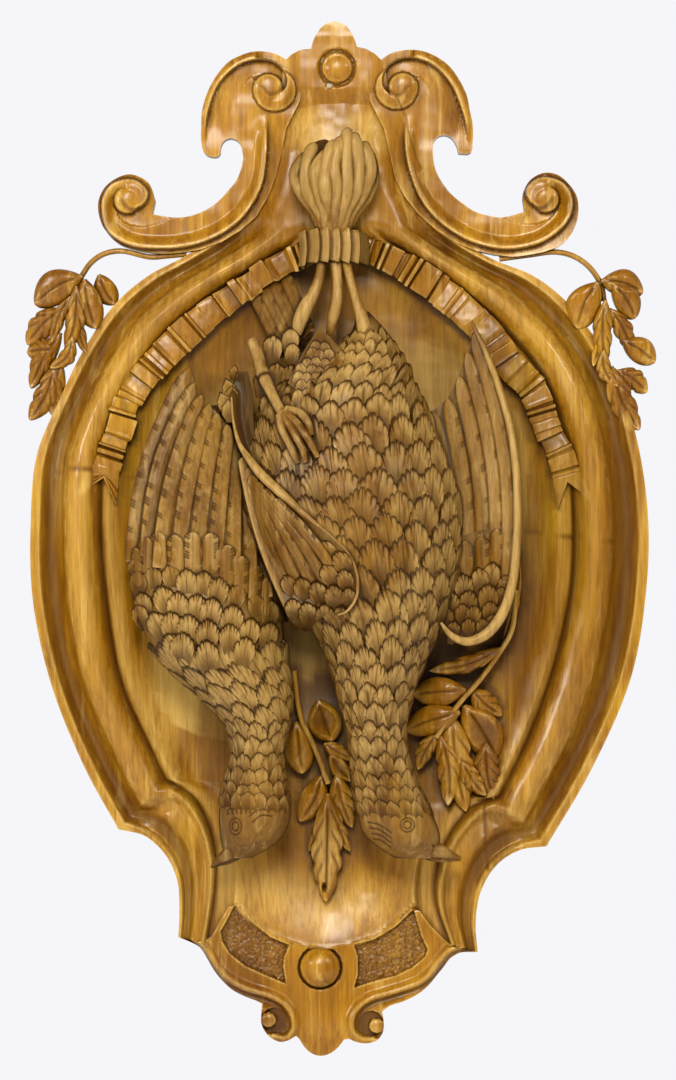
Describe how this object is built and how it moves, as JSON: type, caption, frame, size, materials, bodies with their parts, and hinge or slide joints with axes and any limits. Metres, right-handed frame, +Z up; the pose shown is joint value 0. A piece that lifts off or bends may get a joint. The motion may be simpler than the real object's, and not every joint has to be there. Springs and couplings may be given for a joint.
{
  "type": "carved wooden wall plaque",
  "caption": "Carved wooden cartouche plaque with moulded oval field, C-scroll crown, pleated ribbon and leaf sprays, carrying game birds tied by the feet and hung head down.",
  "frame": {"origin": "centre of the flat back, where the plaque meets the wall", "axes": "+Z up the plaque's length, +X to the viewer's right, +Y into the wall, so the carved front faces -Y"},
  "size_m": [0.3967, 0.1182, 0.6478],
  "materials": {
    "golden_wood": "golden stained and waxed carved wood, satin, darker in the hollows and worn pale on the ridges",
    "grey_brown_wood": "paler grey-brown carved wood with dark stain in the cuts, low satin"
  },
  "bodies": {
    "root": {"backboard": "golden_wood", "game_birds": "grey_brown_wood"}
  },
  "joints": []
}
